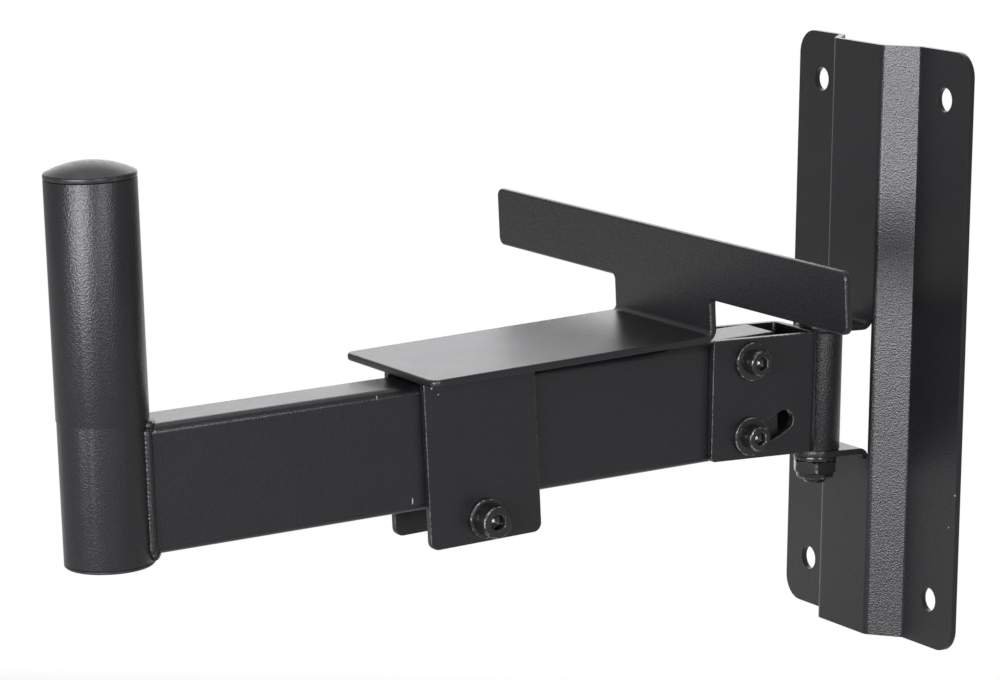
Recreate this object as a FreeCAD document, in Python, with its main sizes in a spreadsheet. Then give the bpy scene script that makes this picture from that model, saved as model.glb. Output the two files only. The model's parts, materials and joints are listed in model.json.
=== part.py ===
"""Speaker wall bracket: hinged wall plate, tilting arm with a 35 mm pole, and a sliding stop bar.

Millimetres. The origin is the middle of the wall plate's back face, which lies in the plane Y = 0.
+Z is up, X runs along the wall, and the bracket reaches out towards -Y.
"""
import FreeCAD, Part
import math
import os
import Sketcher
from FreeCAD import Placement, Rotation, Vector

os.makedirs("parts", exist_ok=True)
doc = FreeCAD.newDocument("SpeakerWallBracket")

# Driving sizes, in millimetres and degrees
SIZES = {
    # wall plate, one sheet pressed to a hat section
    "plate_width": 120.0,
    "plate_height": 248.0,
    "plate_sheet": 2.5,
    "plate_corner": 10.0,
    "front_width": 34.1,
    "foot_width": 57.8,
    "front_depth": 13.5,
    "front_shift": 2.5,
    "plate_bend": 1.5,
    "wall_hole_across": 87.0,
    "wall_hole_up": 208.0,
    "wall_hole_radius": 5.0,
    # window in the front face, and the hinge ears folded out of it
    "window_width": 25.8,
    "window_corner": 2.5,
    "ear_root_width": 20.0,
    "ear_nose": 9.5,
    "ear_bend": 2.0,
    "hinge_reach": 31.0,
    "hinge_drop": 19.9,
    "hinge_end_play": 0.1,
    # hinge barrel and the bolt in it
    "barrel_radius": 10.0,
    "barrel_length": 50.0,
    "pivot_radius": 5.0,
    "pivot_point": 1.8,
    "pivot_head_flats": 17.0,
    "pivot_head_height": 6.4,
    "pivot_nut_height": 8.0,
    "pivot_washer_radius": 9.0,
    "pivot_washer_sheet": 2.0,
    "shaft_play": 0.05,
    "bolt_hole_play": 0.25,
    "thread_play": 0.02,
    "point_chamfer": 0.9,
    # yoke, one sheet folded to a channel, its middle a little above the barrel's
    "yoke_lift": 2.1,
    "yoke_width": 32.0,
    "yoke_height": 50.0,
    "yoke_length": 52.5,
    "yoke_sheet": 3.0,
    "yoke_bend": 1.5,
    "yoke_corner": 2.0,
    "barrel_weld_radius": 2.3,
    "barrel_weld_out": 6.2,
    "barrel_weld_end": 3.0,
    "tilt_reach": 44.0,
    "tilt_rise": 15.5,
    "lock_radius": 31.0,
    "slot_half_width": 4.4,
    "slot_back": 4.0,
    "slot_forth": 33.0,
    "rest_tilt": 2.9,
    # the two screws across the yoke
    "yoke_screw_radius": 3.0,
    "yoke_screw_length": 45.0,
    "yoke_screw_head_radius": 5.1,
    "yoke_screw_head_height": 6.2,
    "yoke_screw_socket": 5.0,
    "yoke_screw_socket_depth": 3.2,
    "yoke_screw_nut_flats": 10.0,
    "yoke_screw_nut_height": 6.0,
    # the clamp screw under the stop
    "clamp_screw_radius": 4.0,
    "clamp_screw_length": 45.0,
    "clamp_screw_head_radius": 6.5,
    "clamp_screw_head_height": 8.0,
    "clamp_screw_socket": 6.0,
    "clamp_screw_socket_depth": 4.5,
    "clamp_screw_nut_flats": 13.0,
    "clamp_screw_nut_height": 8.0,
    # washers, and what all screws and nuts share
    "washer_radius": 8.0,
    "washer_sheet": 1.8,
    "screw_head_chamfer": 0.5,
    "nut_chamfer": 0.6,
    "collar_height": 2.4,
    "collar_step": 0.7,
    "ring_wall": 0.7,
    "ring_height": 1.6,
    # arm, a rectangular tube, with its heel inside the yoke
    "arm_height": 50.0,
    "arm_width": 25.0,
    "arm_wall": 2.0,
    "arm_corner": 3.5,
    "arm_heel": 14.5,
    "pole_reach": 280.4,
    # pole across the arm's end
    "pole_radius": 17.5,
    "pole_wall": 2.0,
    "pole_rise": 93.6,
    "pole_stub": 2.1,
    "pole_foot_step": 0.25,
    "pole_shoulder_gap": 0.4,
    "cap_rim": 1.5,
    "cap_dome": 5.8,
    "cap_skirt": 12.0,
    "plug_rim": 1.4,
    "plug_edge": 0.6,
    "insert_play": 0.1,
    "insert_wall": 1.8,
    "pole_weld_radius": 2.2,
    # sliding stop
    "stop_reach": 126.8,
    "stop_tip": 0.9,
    "stop_sheet": 3.0,
    "stop_bend": 2.0,
    "stop_plate_width": 72.0,
    "stop_overhang": 31.9,
    "stop_neck_back": 94.9,
    "stop_corner": 4.0,
    "neck_rise": 14.2,
    "bar_length": 260.0,
    "bar_height": 24.6,
    "bar_corner": 3.5,
    "neck_fillet": 2.0,
    "saddle_length": 50.0,
    "saddle_width": 32.0,
    "saddle_sheet": 3.0,
    "saddle_bend": 1.0,
    "saddle_play": 1.0,
    "skirt_under": 15.4,
    "saddle_corner": 3.5,
    "clamp_under": 6.0,
    "saddle_weld_radius": 2.4,
    "saddle_weld_in": 1.6,
    "saddle_weld_length": 38.0,
}

# Sizes worked out from the driving ones
WORKED_OUT = {
    "plate_half": "plate_width / 2",
    "plate_top": "plate_height / 2",
    "front_half": "front_width / 2",
    "foot_half": "foot_width / 2",
    "front_left": "front_half + front_shift",
    "front_right": "front_half - front_shift",
    "foot_left": "foot_half + front_shift",
    "foot_right": "foot_half - front_shift",
    "web_run": "foot_half - front_half",
    "web_rise": "front_depth - plate_sheet",
    "web_shift": "plate_sheet * (sqrt(web_run ^ 2 + web_rise ^ 2) - web_run) / web_rise",
    "front_back_left": "front_left - web_shift",
    "front_back_right": "front_right - web_shift",
    "foot_back_left": "foot_left - web_shift",
    "foot_back_right": "foot_right - web_shift",
    "front_back": "front_depth - plate_sheet",
    "plate_bend_outer": "plate_bend + plate_sheet",
    "wall_hole_x": "wall_hole_across / 2",
    "wall_hole_z": "wall_hole_up / 2",
    "hinge_gap": "barrel_length / 2 + hinge_end_play",
    "ear_outer": "hinge_gap + plate_sheet",
    "pivot_length": "2 * ear_outer + pivot_washer_sheet + pivot_nut_height + pivot_point",
    "window_half": "window_width / 2",
    "window_rise": "ear_outer + ear_bend",
    "window_top": "window_rise - hinge_drop",
    "window_bottom": "window_rise + hinge_drop",
    "ear_bend_outer": "ear_bend + plate_sheet",
    "ear_root": "ear_root_width / 2",
    "ear_start": "front_depth + ear_bend",
    "ear_reach": "hinge_reach - ear_start",
    "ear_far": "sqrt(ear_root ^ 2 + ear_reach ^ 2)",
    "ear_turn": "atan2(ear_reach; ear_root) - acos(ear_nose / ear_far)",
    "ear_touch_x": "ear_nose * cos(ear_turn)",
    "ear_touch_y": "hinge_reach - ear_nose * sin(ear_turn)",
    "yoke_half": "yoke_width / 2",
    "yoke_inner": "yoke_half - yoke_sheet",
    "yoke_top": "yoke_height / 2",
    "web_inner": "barrel_radius + yoke_sheet",
    "barrel_half": "barrel_length / 2",
    "barrel_bead_low": "yoke_lift - yoke_top + barrel_weld_end",
    "barrel_bead_length": "barrel_half - barrel_weld_end - barrel_bead_low",
    "yoke_mouth": "barrel_radius + yoke_length",
    "yoke_bend_outer": "yoke_bend + yoke_sheet",
    "slot_outer": "lock_radius + slot_half_width",
    "slot_inner": "lock_radius - slot_half_width",
    "slot_span": "slot_back + slot_forth",
    "yoke_screw_hole": "yoke_screw_radius + bolt_hole_play",
    "yoke_screw_bearing": "yoke_screw_radius + shaft_play",
    "clamp_screw_hole": "clamp_screw_radius + bolt_hole_play",
    "pivot_hole": "pivot_radius + bolt_hole_play",
    "pivot_bearing": "pivot_radius + shaft_play",
    "yoke_screw_nut_hexagon": "yoke_screw_nut_height - collar_height",
    "clamp_screw_nut_hexagon": "clamp_screw_nut_height - collar_height",
    "pivot_nut_hexagon": "pivot_nut_height - collar_height",
    "arm_half": "arm_width / 2",
    "arm_inner_half": "arm_half - arm_wall",
    "arm_inner_corner": "arm_corner - arm_wall",
    "arm_top": "arm_height / 2 - tilt_rise",
    "arm_bottom": "arm_height / 2 + tilt_rise",
    "arm_inner_top": "arm_top - arm_wall",
    "arm_inner_bottom": "arm_bottom - arm_wall",
    "arm_length": "arm_heel + pole_reach",
    "lock_ahead": "lock_radius * sin(rest_tilt * 1deg)",
    "lock_below": "lock_radius * cos(rest_tilt * 1deg)",
    "pole_above": "arm_height / 2 + pole_rise",
    "pole_below": "arm_height / 2 + pole_stub",
    "pole_length": "pole_above + pole_below",
    "pole_bore": "pole_radius - pole_wall",
    "pole_foot": "pole_radius - pole_foot_step",
    "pole_shoulder": "arm_height / 2 + pole_weld_radius + pole_shoulder_gap",
    "pole_foot_length": "pole_below + pole_shoulder",
    "pole_upper_length": "pole_above - pole_shoulder",
    "pole_weld_back": "sqrt(pole_foot ^ 2 - arm_half ^ 2)",
    "insert_radius": "pole_bore - insert_play",
    "insert_bore": "insert_radius - insert_wall",
    "dome_sphere": "(pole_radius ^ 2 + cap_dome ^ 2) / (2 * cap_dome)",
    "saddle_half": "saddle_width / 2",
    "saddle_inner": "saddle_half - saddle_sheet",
    "saddle_bend_outer": "saddle_bend + saddle_sheet",
    "saddle_under": "arm_height / 2 + saddle_play",
    "saddle_top": "saddle_under + saddle_sheet",
    "saddle_end": "saddle_length / 2",
    "saddle_drop": "arm_height / 2 + skirt_under",
    "clamp_drop": "arm_height / 2 + clamp_under",
    "stop_top": "saddle_top + stop_sheet",
    "stop_half": "stop_plate_width / 2",
    "neck_inner": "stop_neck_back + stop_sheet",
    "stop_bend_outer": "stop_bend + stop_sheet",
    "bar_half": "bar_length / 2",
    "bar_foot": "stop_top + neck_rise",
    "bar_top": "bar_foot + bar_height",
    "saddle_weld_x": "saddle_half - saddle_weld_in",
    "saddle_weld_z": "saddle_top - saddle_weld_in",
}

sheet = doc.addObject("Spreadsheet::Sheet", "Sizes")
for row, (name, value) in enumerate(SIZES.items(), 1):
    sheet.set(f"A{row}", name)
    sheet.set(f"B{row}", str(value))
    sheet.setAlias(f"B{row}", name)
for row, (name, formula) in enumerate(WORKED_OUT.items(), len(SIZES) + 2):
    sheet.set(f"A{row}", name)
    sheet.set(f"B{row}", "=" + formula)
    sheet.setAlias(f"B{row}", name)
doc.recompute()


def size(name):
    """The value of a named size; a leading minus is kept, and "0" is nought."""
    if name == "0":
        return 0.0
    sign = -1.0 if name.startswith("-") else 1.0
    value = getattr(sheet, name.lstrip("-"))
    return sign * float(getattr(value, "Value", value))


def bind(item, **sizes):
    """Ties properties to named sizes; a double underscore stands for a dot."""
    for path, name in sizes.items():
        cell = "-Sizes." + name[1:] if name.startswith("-") else "Sizes." + name
        item.setExpression(path.replace("__", "."), cell)
    return item


# Sketches, pads and fillets
def new_body(name):
    body = doc.addObject("PartDesign::Body", name)
    body.Label = name
    return body


def new_sketch(body, name, plane, lift="0"):
    sketch = body.newObject("Sketcher::SketchObject", name)
    support = [item for item in body.Origin.OriginFeatures if item.Role == plane + "_Plane"][0]
    sketch.AttachmentSupport = [(support, "")]
    sketch.MapMode = "FlatFace"
    if lift != "0":
        bind(sketch, AttachmentOffset__Base__z=lift)
    return sketch


def hold_point(sketch, edge, end, x, y):
    """Fixes one point of a sketch at two named distances from the sketch's origin."""
    for kind, axis, name in (("DistanceX", -2, x), ("DistanceY", -1, y)):
        if name == "0":
            sketch.addConstraint(Sketcher.Constraint("PointOnObject", edge, end, axis))
            continue
        number = sketch.addConstraint(Sketcher.Constraint(kind, -1, 1, edge, end, size(name)))
        cell = "-Sizes." + name[1:] if name.startswith("-") else "Sizes." + name
        sketch.setExpression(f"Constraints[{number}]", cell)


def polygon(body, name, plane, corners, lift="0"):
    """A closed outline of straight lines through corners given as pairs of named sizes."""
    sketch = new_sketch(body, name, plane, lift)
    points = [Vector(size(x), size(y), 0) for x, y in corners]
    for here, there in zip(points, points[1:] + points[:1]):
        sketch.addGeometry(Part.LineSegment(here, there))
    for edge in range(len(points)):
        following = (edge + 1) % len(points)
        sketch.addConstraint(Sketcher.Constraint("Coincident", edge, 2, following, 1))
    for edge, (x, y) in enumerate(corners):
        hold_point(sketch, edge, 1, x, y)
    return sketch


def circles(body, name, plane, radius, centres, lift="0"):
    sketch = new_sketch(body, name, plane, lift)
    for edge, (x, y) in enumerate(centres):
        middle = Vector(size(x), size(y), 0)
        sketch.addGeometry(Part.Circle(middle, Vector(0, 0, 1), size(radius)))
        hold_point(sketch, edge, 3, x, y)
        number = sketch.addConstraint(Sketcher.Constraint("Radius", edge, size(radius)))
        sketch.setExpression(f"Constraints[{number}]", "Sizes." + radius)
    return sketch


def pad(body, sketch, length, both_ways=False):
    feature = body.newObject("PartDesign::Pad", sketch.Name + "Pad")
    feature.Profile = sketch
    bind(feature, Length=length)
    feature.SideType = "Symmetric" if both_ways else "One side"
    doc.recompute()
    return feature


def cut_through(body, sketch):
    """Cuts an outline right through the body, both ways, and makes sure that it took something."""
    before = body.Shape.Volume
    feature = body.newObject("PartDesign::Pocket", sketch.Name + "Cut")
    feature.Profile = sketch
    feature.Type = "ThroughAll"
    feature.SideType = "Symmetric"
    doc.recompute()
    if body.Shape.Volume >= before:
        raise ValueError(sketch.Name + " cuts nothing")
    return feature


def straight_edges(shape, axis, spots):
    """Numbers of the edges that run along an axis through spots given in the other two coordinates."""
    found = []
    others = [letter for letter in "xyz" if letter != axis]
    for number, edge in enumerate(shape.Edges, 1):
        ends = [vertex.Point for vertex in edge.Vertexes]
        if edge.Curve.TypeId != "Part::GeomLine" or len(ends) != 2:
            continue
        span = ends[1] - ends[0]
        if any(abs(getattr(span, letter)) > 1e-4 for letter in others):
            continue
        place = [getattr(ends[0], letter) for letter in others]
        if any(abs(place[0] - a) < 0.01 and abs(place[1] - b) < 0.01 for a, b in spots):
            found.append(number)
    return found


def round_edges(body, name, radius, axis, spots):
    base = body.Tip
    numbers = straight_edges(base.Shape, axis, spots)
    if len(numbers) < len(spots):
        raise ValueError(f"{name}: {len(numbers)} edges for {len(spots)} spots")
    feature = body.newObject("PartDesign::Fillet", name)
    feature.Base = (base, [f"Edge{number}" for number in numbers])
    bind(feature, Radius=radius)
    doc.recompute()
    return feature


# Solids and booleans
def cylinder(name, radius, height, **places):
    return bind(doc.addObject("Part::Cylinder", name), Radius=radius, Height=height, **places)


def box(name, length, width, height, **places):
    item = doc.addObject("Part::Box", name)
    return bind(item, Length=length, Width=width, Height=height, **places)


def cut(name, base, tool):
    item = doc.addObject("Part::Cut", name)
    item.Base = base
    item.Tool = tool
    return item


def joined(name, *pieces):
    item = doc.addObject("Part::MultiFuse", name)
    item.Shapes = list(pieces)
    item.Refine = True
    return item


def shared(name, *pieces):
    item = doc.addObject("Part::MultiCommon", name)
    item.Shapes = list(pieces)
    return item


def bevel(name, base, chamfer, level):
    """Chamfers the round edge of a cylinder at the given height."""
    doc.recompute()
    numbers = [
        number for number, edge in enumerate(base.Shape.Edges, 1)
        if edge.Curve.TypeId == "Part::GeomCircle" and abs(edge.Curve.Center.z - level) < 0.01
    ]
    item = doc.addObject("Part::Chamfer", name)
    item.Base = base
    item.Edges = [(number, size(chamfer), size(chamfer)) for number in numbers]
    return item


def hexagon(name, flats, height, chamfer, ends):
    """A hexagon bar whose corners are chamfered at the listed ends."""
    prism = bind(doc.addObject("Part::Prism", name + "Bar"), Height=height)
    prism.Polygon = 6
    prism.setExpression("Circumradius", f"Sizes.{flats} / sqrt(3)")
    turned = doc.addObject("Part::Cylinder", name + "Turned")
    bind(turned, Height=height)
    turned.setExpression("Radius", f"Sizes.{flats} / sqrt(3)")
    for end in ends:
        turned = bevel(name + end.title() + "Bevel", turned, chamfer, size(height) if end == "top" else 0.0)
    return shared(name, prism, turned)


nodes = []


def node(item, label, frame=Placement(), spot=Vector(), turn=Rotation()):
    """Names a finished piece and sets it in its frame."""
    item.Label = label
    item.Placement = frame * Placement(spot, turn)
    nodes.append(item)
    return item


# Frames: the hinge, the yoke, the arm at its tilt screw, and the stop at the middle of its saddle
hinge = Placement(Vector(0, -size("hinge_reach"), -size("hinge_drop")), Rotation())
yoke_frame = hinge * Placement(Vector(0, 0, size("yoke_lift")), Rotation())
tilt_spot = Vector(0, -size("tilt_reach"), size("tilt_rise"))
arm = yoke_frame * Placement(tilt_spot, Rotation(Vector(1, 0, 0), size("rest_tilt")))
saddle_spot = Vector(0, -size("stop_reach"), -size("tilt_rise"))
stop = arm * Placement(saddle_spot, Rotation(Vector(1, 0, 0), size("stop_tip")))
TO_RIGHT = Rotation(Vector(0, 0, 1), Vector(1, 0, 0))
TO_LEFT = Rotation(Vector(0, 0, 1), Vector(-1, 0, 0))


# Wall plate
def wall_plate():
    body = new_body("wall_plate")
    front = [("-plate_half", "-plate_sheet"), ("-foot_left", "-plate_sheet"), ("-front_left", "-front_depth"),
             ("front_right", "-front_depth"), ("foot_right", "-plate_sheet"), ("plate_half", "-plate_sheet")]
    back = [("plate_half", "0"), ("foot_back_right", "0"), ("front_back_right", "-front_back"),
            ("-front_back_left", "-front_back"), ("-foot_back_left", "0"), ("-plate_half", "0")]
    pad(body, polygon(body, "HatSection", "XY", front + back), "plate_height", both_ways=True)
    for sign, hand, tag in (("", "right", "Right"), ("-", "left", "Left")):
        outer = [(f"{sign}front_{hand}", "-front_depth"), (f"{sign}foot_back_{hand}", "0")]
        inner = [(f"{sign}foot_{hand}", "-plate_sheet"), (f"{sign}front_back_{hand}", "-front_back")]
        for name, radius, spots in (("Outer", "plate_bend_outer", outer), ("Inner", "plate_bend", inner)):
            places = [(size(x), size(y)) for x, y in spots]
            round_edges(body, tag + name + "Bends", radius, "z", places)
    corners = [(x * size("plate_half"), z * size("plate_top")) for x in (-1, 1) for z in (-1, 1)]
    round_edges(body, "FlangeCorners", "plate_corner", "y", corners)
    window = [("-window_half", "-window_bottom"), ("window_half", "-window_bottom"),
              ("window_half", "window_top"), ("-window_half", "window_top")]
    cut_through(body, polygon(body, "Window", "XZ", window))
    corners = [(x * size("window_half"), z) for x in (-1, 1)
               for z in (size("window_top"), -size("window_bottom"))]
    round_edges(body, "WindowCorners", "window_corner", "y", corners)
    holes = [(x + "wall_hole_x", z + "wall_hole_z") for x in ("", "-") for z in ("", "-")]
    cut_through(body, circles(body, "WallHoles", "XZ", "wall_hole_radius", holes))
    for tag, side in (("Upper", 1), ("Lower", -1)):
        hinge_ear(body, tag, side)
    cut_through(body, circles(body, "PivotHoles", "XY", "pivot_hole", [("0", "-hinge_reach")]))
    return node(body, "wall_plate")


def ear_levels(tag, side):
    """Adds the heights of one ear to the sheet: its lower face and the middle of its bend."""
    low = "hinge_gap" if side > 0 else "-ear_outer"
    for name, formula in (("Low", low), ("Bend", f"{side} * window_rise")):
        row = 1 + max(int(cell.strip("AB")) for cell in sheet.getUsedCells())
        sheet.set(f"A{row}", tag + name)
        sheet.set(f"B{row}", f"={formula} - hinge_drop")
        sheet.setAlias(f"B{row}", tag + name)
    doc.recompute()


def hinge_ear(body, tag, side):
    """One ear: the sheet turns out of the front face through a bend and ends in a round nose."""
    ear_levels(tag, side)
    pad(body, quarter_ring(body, tag + "EarBend", tag + "Bend", side), "ear_root_width", both_ways=True)
    flat = [("-ear_root", "-ear_start"), ("-ear_touch_x", "-ear_touch_y"),
            ("ear_touch_x", "-ear_touch_y"), ("ear_root", "-ear_start")]
    pad(body, polygon(body, tag + "EarFlat", "XY", flat, lift=tag + "Low"), "plate_sheet")
    nose = circles(body, tag + "EarNose", "XY", "ear_nose", [("0", "-hinge_reach")], lift=tag + "Low")
    pad(body, nose, "plate_sheet")


def quarter_ring(body, name, level, side):
    """The section of an ear's bend: a quarter of a ring that joins the front face to the flat ear."""
    sketch = new_sketch(body, name, "YZ")
    middle = Vector(-size("ear_start"), size(level), 0)
    start, end = (-90, 0) if side > 0 else (0, 90)
    for radius in ("ear_bend", "ear_bend_outer"):
        circle = Part.Circle(middle, Vector(0, 0, 1), size(radius))
        edge = sketch.addGeometry(Part.ArcOfCircle(circle, math.radians(start), math.radians(end)))
        hold_point(sketch, edge, 3, "-ear_start", level)
        number = sketch.addConstraint(Sketcher.Constraint("Radius", edge, size(radius)))
        sketch.setExpression(f"Constraints[{number}]", "Sizes." + radius)
    for point, direction in ((1, start), (2, end)):
        turn = Vector(math.cos(math.radians(direction)), math.sin(math.radians(direction)), 0)
        ends = [middle + turn * size(radius) for radius in ("ear_bend", "ear_bend_outer")]
        edge = sketch.addGeometry(Part.LineSegment(*ends))
        sketch.addConstraint(Sketcher.Constraint("Coincident", edge, 1, 0, point))
        sketch.addConstraint(Sketcher.Constraint("Coincident", edge, 2, 1, point))
        sketch.addConstraint(Sketcher.Constraint("Horizontal" if direction == 0 else "Vertical", edge))
        if direction != 0:
            sketch.addConstraint(Sketcher.Constraint("PointOnObject", 0, 3, edge))
        else:
            sketch.addConstraint(Sketcher.Constraint("PointOnObject", 1, 3, edge))
    return sketch


# Yoke with its barrel
def yoke():
    body = new_body("YokeChannel")
    section = [("-yoke_half", "-barrel_radius"), ("yoke_half", "-barrel_radius"),
               ("yoke_half", "-yoke_mouth"), ("yoke_inner", "-yoke_mouth"),
               ("yoke_inner", "-web_inner"), ("-yoke_inner", "-web_inner"),
               ("-yoke_inner", "-yoke_mouth"), ("-yoke_half", "-yoke_mouth")]
    pad(body, polygon(body, "ChannelSection", "XY", section), "yoke_height", both_ways=True)
    outer = [(side * size("yoke_half"), -size("barrel_radius")) for side in (-1, 1)]
    inner = [(side * size("yoke_inner"), -size("web_inner")) for side in (-1, 1)]
    round_edges(body, "YokeOuterBends", "yoke_bend_outer", "z", outer)
    round_edges(body, "YokeInnerBends", "yoke_bend", "z", inner)
    corners = [(-size("yoke_mouth"), side * size("yoke_top")) for side in (-1, 1)]
    round_edges(body, "CheekCorners", "yoke_corner", "x", corners)
    cut_through(body, circles(body, "TiltHoles", "YZ", "yoke_screw_hole", [("-tilt_reach", "tilt_rise")]))
    return node(cut("YokeSlotted", body, slot_cutter()), "yoke", yoke_frame)


def slot_cutter():
    """The curved slot of both cheeks, as a sector of a ring about the tilt screw with round ends."""
    outer = cylinder("SlotOuter", "slot_outer", "yoke_width", Angle="slot_span")
    inner = cylinder("SlotInner", "slot_inner", "yoke_width", Angle="slot_span")
    ends = []
    for number, turn in enumerate(("0", "slot_span")):
        end = cylinder(f"SlotEnd{number}", "slot_half_width", "yoke_width")
        angle = "0deg" if turn == "0" else "Sizes.slot_span * 1deg"
        end.setExpression("Placement.Base.x", f"Sizes.lock_radius * cos({angle})")
        end.setExpression("Placement.Base.y", f"Sizes.lock_radius * sin({angle})")
        ends.append(end)
    ring = cut("SlotRing", outer, inner)
    slot = joined("Slot", ring, *ends)
    # the cylinders' axis lies along X, and the sector starts a little ahead of straight down
    upright = Rotation(Vector(0, 1, 0), Vector(0, 0, 1), Vector(1, 0, 0), "ZXY")
    start = Rotation(Vector(1, 0, 0), -90 - size("slot_back"))
    slot.Placement = Placement(tilt_spot - Vector(size("yoke_half"), 0, 0), start * upright)
    return slot


def hinge_barrel():
    tube = cylinder("BarrelTube", "barrel_radius", "barrel_length")
    bore = cylinder("BarrelBore", "pivot_bearing", "barrel_length")
    drop = Vector(0, 0, -size("barrel_half"))
    return node(cut("BarrelBored", tube, bore), "hinge_barrel", hinge, drop)


def barrel_welds():
    """Two beads in the corners between barrel and web, over the height that the two share."""
    beads = []
    for side, tag in ((1, "Right"), (-1, "Left")):
        bead = cylinder(f"BarrelBead{tag}", "barrel_weld_radius", "barrel_bead_length")
        bead.setExpression("Placement.Base.x", f"{side} * Sizes.barrel_weld_out")
        bead.setExpression("Placement.Base.y", "-Sizes.barrel_radius + Sizes.barrel_weld_radius / 2")
        bind(bead, Placement__Base__z="barrel_bead_low")
        beads.append(bead)
    barrel = cylinder("BarrelSpace", "barrel_radius", "barrel_length")
    bind(barrel, Placement__Base__z="-barrel_half")
    web = box("WebSpace", "yoke_width", "yoke_sheet", "barrel_length")
    bind(web, Placement__Base__x="-yoke_half", Placement__Base__y="-web_inner")
    bind(web, Placement__Base__z="-barrel_half")
    space = joined("BarrelWeldSpace", barrel, web)
    return node(cut("BarrelBeads", joined("BarrelBeadsRaw", *beads), space), "barrel_welds", hinge)


# Fasteners
def washer(label, outer, hole, thickness, frame, spot, turn):
    name = label.title().replace("_", "")
    disc = cylinder(name + "Disc", outer, thickness)
    return node(cut(name, disc, cylinder(name + "Hole", hole, thickness)), label, frame, spot, turn)


def lock_nut(label, flats, kind, shaft, frame, spot, turn):
    """A hexagon nut with a collar that holds a plastic ring; its flat face is at its own origin."""
    name = label.title().replace("_", "")
    height = kind + "_height"
    hexa = hexagon(name + "Hex", flats, kind + "_hexagon", "nut_chamfer", ["bottom", "top"])
    collar = cylinder(name + "Collar", "collar_height", height)
    collar.setExpression("Radius", f"Sizes.{flats} / 2 - Sizes.collar_step")
    crown = bevel(name + "Crown", collar, "nut_chamfer", size(height))
    bore = cylinder(name + "Bore", shaft, height)
    bore.setExpression("Radius", f"Sizes.{shaft} + Sizes.thread_play")
    seat = cylinder(name + "Seat", shaft, "ring_height")
    seat.setExpression("Radius", f"Sizes.{shaft} + Sizes.thread_play + Sizes.ring_wall")
    seat.setExpression("Placement.Base.z", f"Sizes.{height} - Sizes.ring_height")
    nut = cut(name, joined(name + "Blank", hexa, crown), joined(name + "Inside", bore, seat))
    node(nut, label, frame, spot, turn)
    outer = cylinder(name + "RingDisc", shaft, "ring_height")
    outer.setExpression("Radius", f"Sizes.{shaft} + Sizes.thread_play + Sizes.ring_wall")
    inner = cylinder(name + "RingHole", shaft, "ring_height")
    inner.setExpression("Radius", f"Sizes.{shaft} + Sizes.thread_play")
    lift = turn.multVec(Vector(0, 0, size(height) - size("ring_height")))
    node(cut(name + "Ring", outer, inner), label + "_ring", frame, spot + lift, turn)


def socket_screw(label, kind, frame, spot, turn):
    """A socket head cap screw; the underside of its head is at its own origin."""
    name = label.title().replace("_", "")
    top = kind + "_head_height"
    head = cylinder(name + "Head", kind + "_head_radius", top)
    face = bevel(name + "Face", head, "screw_head_chamfer", size(top))
    shank = cylinder(name + "Shank", kind + "_radius", kind + "_length")
    point = bevel(name + "Point", shank, "point_chamfer", 0.0)
    bind(point, Placement__Base__z=f"-{kind}_length")
    socket = bind(doc.addObject("Part::Prism", name + "Socket"), Height=top)
    socket.Polygon = 6
    socket.setExpression("Circumradius", f"Sizes.{kind}_socket / sqrt(3)")
    socket.setExpression("Placement.Base.z", f"Sizes.{top} - Sizes.{kind}_socket_depth")
    return node(cut(name, joined(name + "Blank", face, point), socket), label, frame, spot, turn)


def cross_screw(prefix, kind, frame, spot, half_width):
    """A screw across the arm with its two washers and its nut, the head on the right."""
    near = spot + Vector(half_width, 0, 0)
    far = spot - Vector(half_width, 0, 0)
    step = Vector(size("washer_sheet"), 0, 0)
    hole = kind + "_hole"
    socket_screw(prefix + "_screw", kind, frame, near + step, TO_RIGHT)
    washer(prefix + "_washer_near", "washer_radius", hole, "washer_sheet", frame, near, TO_RIGHT)
    washer(prefix + "_washer_far", "washer_radius", hole, "washer_sheet", frame, far, TO_LEFT)
    nut = kind + "_nut"
    lock_nut(prefix + "_nut", nut + "_flats", nut, kind + "_radius", frame, far - step, TO_LEFT)


def pivot_bolt():
    head = hexagon("PivotHead", "pivot_head_flats", "pivot_head_height", "nut_chamfer", ["top"])
    shank = cylinder("PivotShank", "pivot_radius", "pivot_length")
    point = bevel("PivotPoint", shank, "point_chamfer", 0.0)
    bind(point, Placement__Base__z="-pivot_length")
    quarter = Rotation(Vector(0, 0, 1), 90)
    top = Vector(0, 0, size("ear_outer"))
    node(joined("PivotBolt", head, point), "pivot_bolt", hinge, top, quarter)
    down = Rotation(Vector(1, 0, 0), 180) * quarter
    washer("pivot_washer", "pivot_washer_radius", "pivot_hole", "pivot_washer_sheet", hinge, -top, down)
    under = -top - Vector(0, 0, size("pivot_washer_sheet"))
    lock_nut("pivot_nut", "pivot_head_flats", "pivot_nut", "pivot_radius", hinge, under, down)


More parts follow.
